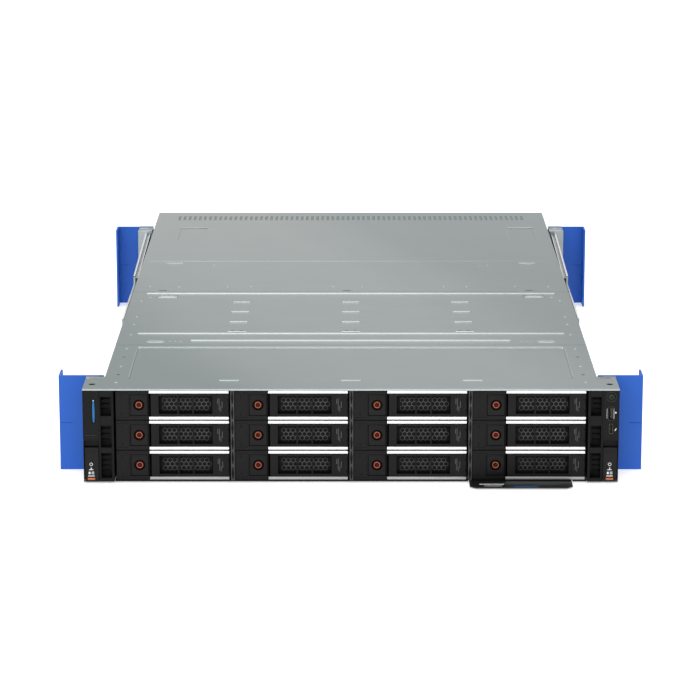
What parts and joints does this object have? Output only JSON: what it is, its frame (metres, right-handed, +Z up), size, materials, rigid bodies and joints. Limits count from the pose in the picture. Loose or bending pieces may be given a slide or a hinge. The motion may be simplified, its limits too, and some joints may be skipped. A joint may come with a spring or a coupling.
{
  "type": "rack storage server",
  "caption": "Two-unit rack storage server with front hot-swap drive bays, on telescopic slides between short rack post sections.",
  "frame": {"origin": "bottom centre of the whole object, on the plane that the rack posts stand on", "axes": "+X to the right seen from the front, +Y from the drive bays to the rear, +Z up"},
  "size_m": [0.533, 0.8816, 0.0889],
  "materials": {
    "blue_paint": "smooth blue powder coat",
    "zinc": "bright zinc plate",
    "galvanised": "galvanised sheet",
    "cover_steel": "satin galvanised sheet",
    "lock_steel": "satin steel",
    "black_metal": "black powder coat",
    "black_plastic": "fine grain moulded",
    "lever_plastic": "fine grain moulded",
    "carrier_plastic": "fine grain moulded",
    "button_plastic": "satin moulded",
    "bright_strip": "bright anodised",
    "orange_mark": "orange moulded ring",
    "mesh_metal": "black perforated sheet",
    "status_light": "blue light pipe",
    "white_print": "pad print",
    "gloss_tag": "gloss black card",
    "circuit_board": "solder mask",
    "fan_plastic": "glass-filled moulded",
    "port_metal": "nickel shell",
    "supply_case": "satin sheet"
  },
  "bodies": {
    "rack": {"rack_posts": "blue_paint", "outer_rails": "zinc"},
    "middle_slides": {"middle_rails": "zinc"},
    "chassis": {"chassis_base": "galvanised", "bay_dividers": "black_metal", "front_cover": "cover_steel", "middle_cover": "cover_steel", "control_panel_left": "black_plastic", "control_panel_right": "black_plastic", "inner_rails": "zinc", "drive_backplane": "circuit_board", "fan_housings": "fan_plastic", "mainboard": "circuit_board", "network_ports": "port_metal"},
    "top_cover": {"rear_cover": "cover_steel"},
    "cover_lock_pair": {"cover_locks": "lock_steel"},
    "release_levers": {"rack_release_levers": "lever_plastic"},
    "power_switch": {"power_button": "button_plastic"},
    "tag": {"info_tag": "gloss_tag"},
    "fan_left": {"fan_rotor_left": "fan_plastic"},
    "fan_centre": {"fan_rotor_centre": "fan_plastic"},
    "fan_right": {"fan_rotor_right": "fan_plastic"},
    "supply_left": {"power_supply_left": "supply_case"},
    "supply_right": {"power_supply_right": "supply_case"},
    "carrier_c1r1": {"drive_carrier_c1r1": "carrier_plastic"},
    "handle_c1r1": {"carrier_handle_c1r1": "carrier_plastic"},
    "button_c1r1": {"release_button_c1r1": "button_plastic"},
    "carrier_c1r2": {"drive_carrier_c1r2": "carrier_plastic"},
    "handle_c1r2": {"carrier_handle_c1r2": "carrier_plastic"},
    "button_c1r2": {"release_button_c1r2": "button_plastic"},
    "carrier_c1r3": {"drive_carrier_c1r3": "carrier_plastic"},
    "handle_c1r3": {"carrier_handle_c1r3": "carrier_plastic"},
    "button_c1r3": {"release_button_c1r3": "button_plastic"},
    "carrier_c2r1": {"drive_carrier_c2r1": "carrier_plastic"},
    "handle_c2r1": {"carrier_handle_c2r1": "carrier_plastic"},
    "button_c2r1": {"release_button_c2r1": "button_plastic"},
    "carrier_c2r2": {"drive_carrier_c2r2": "carrier_plastic"},
    "handle_c2r2": {"carrier_handle_c2r2": "carrier_plastic"},
    "button_c2r2": {"release_button_c2r2": "button_plastic"},
    "carrier_c2r3": {"drive_carrier_c2r3": "carrier_plastic"},
    "handle_c2r3": {"carrier_handle_c2r3": "carrier_plastic"},
    "button_c2r3": {"release_button_c2r3": "button_plastic"},
    "carrier_c3r1": {"drive_carrier_c3r1": "carrier_plastic"},
    "handle_c3r1": {"carrier_handle_c3r1": "carrier_plastic"},
    "button_c3r1": {"release_button_c3r1": "button_plastic"},
    "carrier_c3r2": {"drive_carrier_c3r2": "carrier_plastic"},
    "handle_c3r2": {"carrier_handle_c3r2": "carrier_plastic"},
    "button_c3r2": {"release_button_c3r2": "button_plastic"},
    "carrier_c3r3": {"drive_carrier_c3r3": "carrier_plastic"},
    "handle_c3r3": {"carrier_handle_c3r3": "carrier_plastic"},
    "button_c3r3": {"release_button_c3r3": "button_plastic"},
    "carrier_c4r1": {"drive_carrier_c4r1": "carrier_plastic"},
    "handle_c4r1": {"carrier_handle_c4r1": "carrier_plastic"},
    "button_c4r1": {"release_button_c4r1": "button_plastic"},
    "carrier_c4r2": {"drive_carrier_c4r2": "carrier_plastic"},
    "handle_c4r2": {"carrier_handle_c4r2": "carrier_plastic"},
    "button_c4r2": {"release_button_c4r2": "button_plastic"},
    "carrier_c4r3": {"drive_carrier_c4r3": "carrier_plastic"},
    "handle_c4r3": {"carrier_handle_c4r3": "carrier_plastic"},
    "button_c4r3": {"release_button_c4r3": "button_plastic"}
  },
  "joints": [
    {"name": "chassis_slide", "type": "slide", "parent": "rack", "child": "chassis", "axis": [0, -1, 0], "range_m": [0, 0.7]},
    {"name": "middle_slide", "type": "slide", "parent": "rack", "child": "middle_slides", "axis": [0, -1, 0], "range_m": [0, 0.35]},
    {"name": "rear_cover_lift", "type": "slide", "parent": "chassis", "child": "top_cover", "axis": [0, 0, 1], "range_m": [0, 0.12]},
    {"name": "cover_lock_slide", "type": "slide", "parent": "chassis", "child": "cover_lock_pair", "axis": [0, 1, 0], "range_m": [0, 0.004], "stiffness_N_per_m": 200},
    {"name": "release_lever_hinge", "type": "hinge", "parent": "chassis", "child": "release_levers", "pos_m": [0, -0.41525, 0.00555], "axis": [1, 0, 0], "range_deg": [0, 20], "stiffness_Nm_per_rad": 0.05},
    {"name": "power_button_press", "type": "slide", "parent": "chassis", "child": "power_switch", "axis": [0, 1, 0], "range_m": [0, 0.0015], "stiffness_N_per_m": 300},
    {"name": "tag_slide", "type": "slide", "parent": "chassis", "child": "tag", "axis": [0, -1, 0], "range_m": [-0.021, 0.05]},
    {"name": "fan_left_spin", "type": "hinge", "parent": "chassis", "child": "fan_left", "pos_m": [-0.136, -0.18425, 0.04265], "axis": [0, 1, 0], "continuous": true},
    {"name": "fan_centre_spin", "type": "hinge", "parent": "chassis", "child": "fan_centre", "pos_m": [0, -0.18425, 0.04265], "axis": [0, 1, 0], "continuous": true},
    {"name": "fan_right_spin", "type": "hinge", "parent": "chassis", "child": "fan_right", "pos_m": [0.136, -0.18425, 0.04265], "axis": [0, 1, 0], "continuous": true},
    {"name": "supply_left_slide", "type": "slide", "parent": "chassis", "child": "supply_left", "axis": [0, 1, 0], "range_m": [0, 0.18]},
    {"name": "supply_right_slide", "type": "slide", "parent": "chassis", "child": "supply_right", "axis": [0, 1, 0], "range_m": [0, 0.18]},
    {"name": "carrier_c1r1_slide", "type": "slide", "parent": "chassis", "child": "carrier_c1r1", "axis": [0, -1, 0], "range_m": [0, 0.18]},
    {"name": "handle_c1r1_hinge", "type": "hinge", "parent": "carrier_c1r1", "child": "handle_c1r1", "pos_m": [-0.111, -0.41525, 0.07235], "axis": [0, 0, 1], "range_deg": [0, 75]},
    {"name": "button_c1r1_press", "type": "slide", "parent": "carrier_c1r1", "child": "button_c1r1", "axis": [0, 1, 0], "range_m": [0, 0.0015], "stiffness_N_per_m": 300},
    {"name": "carrier_c1r2_slide", "type": "slide", "parent": "chassis", "child": "carrier_c1r2", "axis": [0, -1, 0], "range_m": [0, 0.18]},
    {"name": "handle_c1r2_hinge", "type": "hinge", "parent": "carrier_c1r2", "child": "handle_c1r2", "pos_m": [-0.111, -0.41525, 0.04435], "axis": [0, 0, 1], "range_deg": [0, 75]},
    {"name": "button_c1r2_press", "type": "slide", "parent": "carrier_c1r2", "child": "button_c1r2", "axis": [0, 1, 0], "range_m": [0, 0.0015], "stiffness_N_per_m": 300},
    {"name": "carrier_c1r3_slide", "type": "slide", "parent": "chassis", "child": "carrier_c1r3", "axis": [0, -1, 0], "range_m": [0, 0.18]},
    {"name": "handle_c1r3_hinge", "type": "hinge", "parent": "carrier_c1r3", "child": "handle_c1r3", "pos_m": [-0.111, -0.41525, 0.01635], "axis": [0, 0, 1], "range_deg": [0, 75]},
    {"name": "button_c1r3_press", "type": "slide", "parent": "carrier_c1r3", "child": "button_c1r3", "axis": [0, 1, 0], "range_m": [0, 0.0015], "stiffness_N_per_m": 300},
    {"name": "carrier_c2r1_slide", "type": "slide", "parent": "chassis", "child": "carrier_c2r1", "axis": [0, -1, 0], "range_m": [0, 0.18]},
    {"name": "handle_c2r1_hinge", "type": "hinge", "parent": "carrier_c2r1", "child": "handle_c2r1", "pos_m": [-0.004, -0.41525, 0.07235], "axis": [0, 0, 1], "range_deg": [0, 75]},
    {"name": "button_c2r1_press", "type": "slide", "parent": "carrier_c2r1", "child": "button_c2r1", "axis": [0, 1, 0], "range_m": [0, 0.0015], "stiffness_N_per_m": 300},
    {"name": "carrier_c2r2_slide", "type": "slide", "parent": "chassis", "child": "carrier_c2r2", "axis": [0, -1, 0], "range_m": [0, 0.18]},
    {"name": "handle_c2r2_hinge", "type": "hinge", "parent": "carrier_c2r2", "child": "handle_c2r2", "pos_m": [-0.004, -0.41525, 0.04435], "axis": [0, 0, 1], "range_deg": [0, 75]},
    {"name": "button_c2r2_press", "type": "slide", "parent": "carrier_c2r2", "child": "button_c2r2", "axis": [0, 1, 0], "range_m": [0, 0.0015], "stiffness_N_per_m": 300},
    {"name": "carrier_c2r3_slide", "type": "slide", "parent": "chassis", "child": "carrier_c2r3", "axis": [0, -1, 0], "range_m": [0, 0.18]},
    {"name": "handle_c2r3_hinge", "type": "hinge", "parent": "carrier_c2r3", "child": "handle_c2r3", "pos_m": [-0.004, -0.41525, 0.01635], "axis": [0, 0, 1], "range_deg": [0, 75]},
    {"name": "button_c2r3_press", "type": "slide", "parent": "carrier_c2r3", "child": "button_c2r3", "axis": [0, 1, 0], "range_m": [0, 0.0015], "stiffness_N_per_m": 300},
    {"name": "carrier_c3r1_slide", "type": "slide", "parent": "chassis", "child": "carrier_c3r1", "axis": [0, -1, 0], "range_m": [0, 0.18]},
    {"name": "handle_c3r1_hinge", "type": "hinge", "parent": "carrier_c3r1", "child": "handle_c3r1", "pos_m": [0.103, -0.41525, 0.07235], "axis": [0, 0, 1], "range_deg": [0, 75]},
    {"name": "button_c3r1_press", "type": "slide", "parent": "carrier_c3r1", "child": "button_c3r1", "axis": [0, 1, 0], "range_m": [0, 0.0015], "stiffness_N_per_m": 300},
    {"name": "carrier_c3r2_slide", "type": "slide", "parent": "chassis", "child": "carrier_c3r2", "axis": [0, -1, 0], "range_m": [0, 0.18]},
    {"name": "handle_c3r2_hinge", "type": "hinge", "parent": "carrier_c3r2", "child": "handle_c3r2", "pos_m": [0.103, -0.41525, 0.04435], "axis": [0, 0, 1], "range_deg": [0, 75]},
    {"name": "button_c3r2_press", "type": "slide", "parent": "carrier_c3r2", "child": "button_c3r2", "axis": [0, 1, 0], "range_m": [0, 0.0015], "stiffness_N_per_m": 300},
    {"name": "carrier_c3r3_slide", "type": "slide", "parent": "chassis", "child": "carrier_c3r3", "axis": [0, -1, 0], "range_m": [0, 0.18]},
    {"name": "handle_c3r3_hinge", "type": "hinge", "parent": "carrier_c3r3", "child": "handle_c3r3", "pos_m": [0.103, -0.41525, 0.01635], "axis": [0, 0, 1], "range_deg": [0, 75]},
    {"name": "button_c3r3_press", "type": "slide", "parent": "carrier_c3r3", "child": "button_c3r3", "axis": [0, 1, 0], "range_m": [0, 0.0015], "stiffness_N_per_m": 300},
    {"name": "carrier_c4r1_slide", "type": "slide", "parent": "chassis", "child": "carrier_c4r1", "axis": [0, -1, 0], "range_m": [0, 0.18]},
    {"name": "handle_c4r1_hinge", "type": "hinge", "parent": "carrier_c4r1", "child": "handle_c4r1", "pos_m": [0.21, -0.41525, 0.07235], "axis": [0, 0, 1], "range_deg": [0, 75]},
    {"name": "button_c4r1_press", "type": "slide", "parent": "carrier_c4r1", "child": "button_c4r1", "axis": [0, 1, 0], "range_m": [0, 0.0015], "stiffness_N_per_m": 300},
    {"name": "carrier_c4r2_slide", "type": "slide", "parent": "chassis", "child": "carrier_c4r2", "axis": [0, -1, 0], "range_m": [0, 0.18]},
    {"name": "handle_c4r2_hinge", "type": "hinge", "parent": "carrier_c4r2", "child": "handle_c4r2", "pos_m": [0.21, -0.41525, 0.04435], "axis": [0, 0, 1], "range_deg": [0, 75]},
    {"name": "button_c4r2_press", "type": "slide", "parent": "carrier_c4r2", "child": "button_c4r2", "axis": [0, 1, 0], "range_m": [0, 0.0015], "stiffness_N_per_m": 300},
    {"name": "carrier_c4r3_slide", "type": "slide", "parent": "chassis", "child": "carrier_c4r3", "axis": [0, -1, 0], "range_m": [0, 0.18]},
    {"name": "handle_c4r3_hinge", "type": "hinge", "parent": "carrier_c4r3", "child": "handle_c4r3", "pos_m": [0.21, -0.41525, 0.01635], "axis": [0, 0, 1], "range_deg": [0, 75]},
    {"name": "button_c4r3_press", "type": "slide", "parent": "carrier_c4r3", "child": "button_c4r3", "axis": [0, 1, 0], "range_m": [0, 0.0015], "stiffness_N_per_m": 300}
  ],
  "couplings": [
    {"joint": "middle_slide", "follows": "chassis_slide", "ratio": 0.5}
  ]
}
